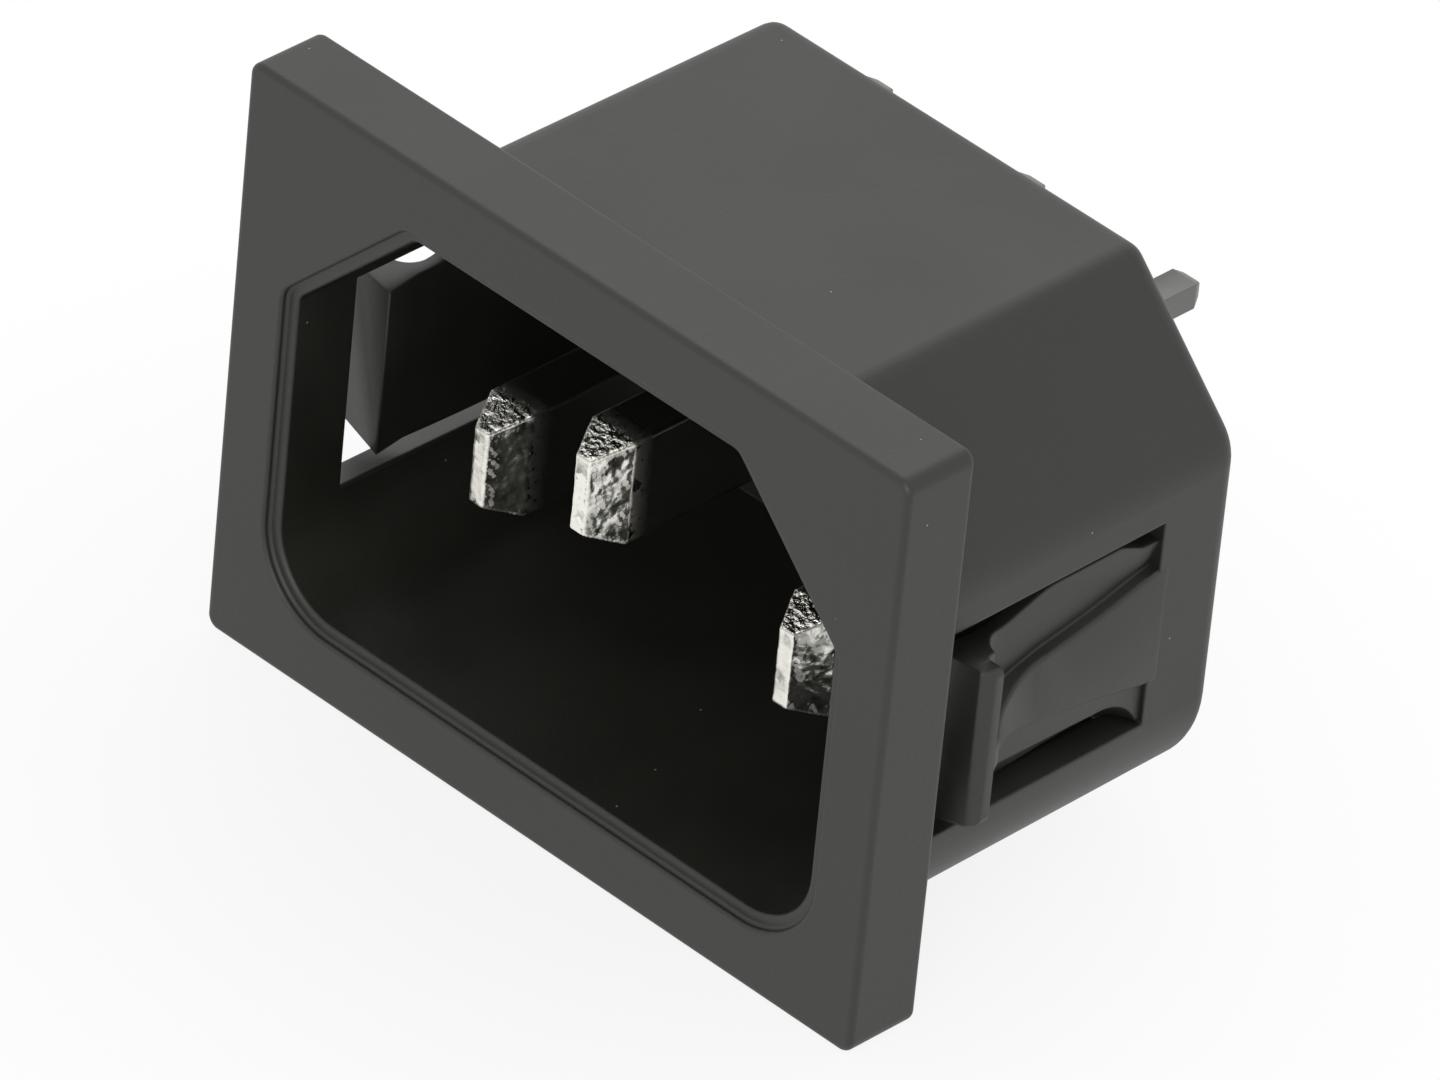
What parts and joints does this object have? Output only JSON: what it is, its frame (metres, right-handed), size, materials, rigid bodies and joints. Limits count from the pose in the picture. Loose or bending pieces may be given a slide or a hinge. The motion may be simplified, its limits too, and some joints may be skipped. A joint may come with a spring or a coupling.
{
  "type": "iec power inlet connector",
  "caption": "Black snap-in appliance power inlet: flange, chamfered plug recess with bright plated blades, spring latches in the side walls and solder tails at the rear.",
  "frame": {"origin": "centre of the flange's back face, where it meets the panel", "axes": "+X along the flange's long side, +Y into the panel (the way the plug goes in), +Z towards the earth blade and the cut corners"},
  "size_m": [0.0298, 0.0217, 0.0222],
  "materials": {
    "black_moulding": "fine satin mould texture",
    "plated_contact": "bright nickel plate over brass, lightly dimpled by stamping"
  },
  "bodies": {
    "housing": {"housing": "black_moulding", "contact_line": "plated_contact", "contact_neutral": "plated_contact", "contact_earth": "plated_contact"},
    "latch_right": {"snap_latch_right": "black_moulding"},
    "latch_left": {"snap_latch_left": "black_moulding"}
  },
  "joints": [
    {"name": "latch_right_flex", "type": "hinge", "parent": "housing", "child": "latch_right", "pos_m": [0.01225, 0.0114, -0.0016], "axis": [0, 0, -1], "range_deg": [0, 7.5], "stiffness_Nm_per_rad": 0.28},
    {"name": "latch_left_flex", "type": "hinge", "parent": "housing", "child": "latch_left", "pos_m": [-0.01225, 0.0114, -0.0016], "axis": [0, 0, 1], "range_deg": [0, 7.5], "stiffness_Nm_per_rad": 0.28}
  ]
}
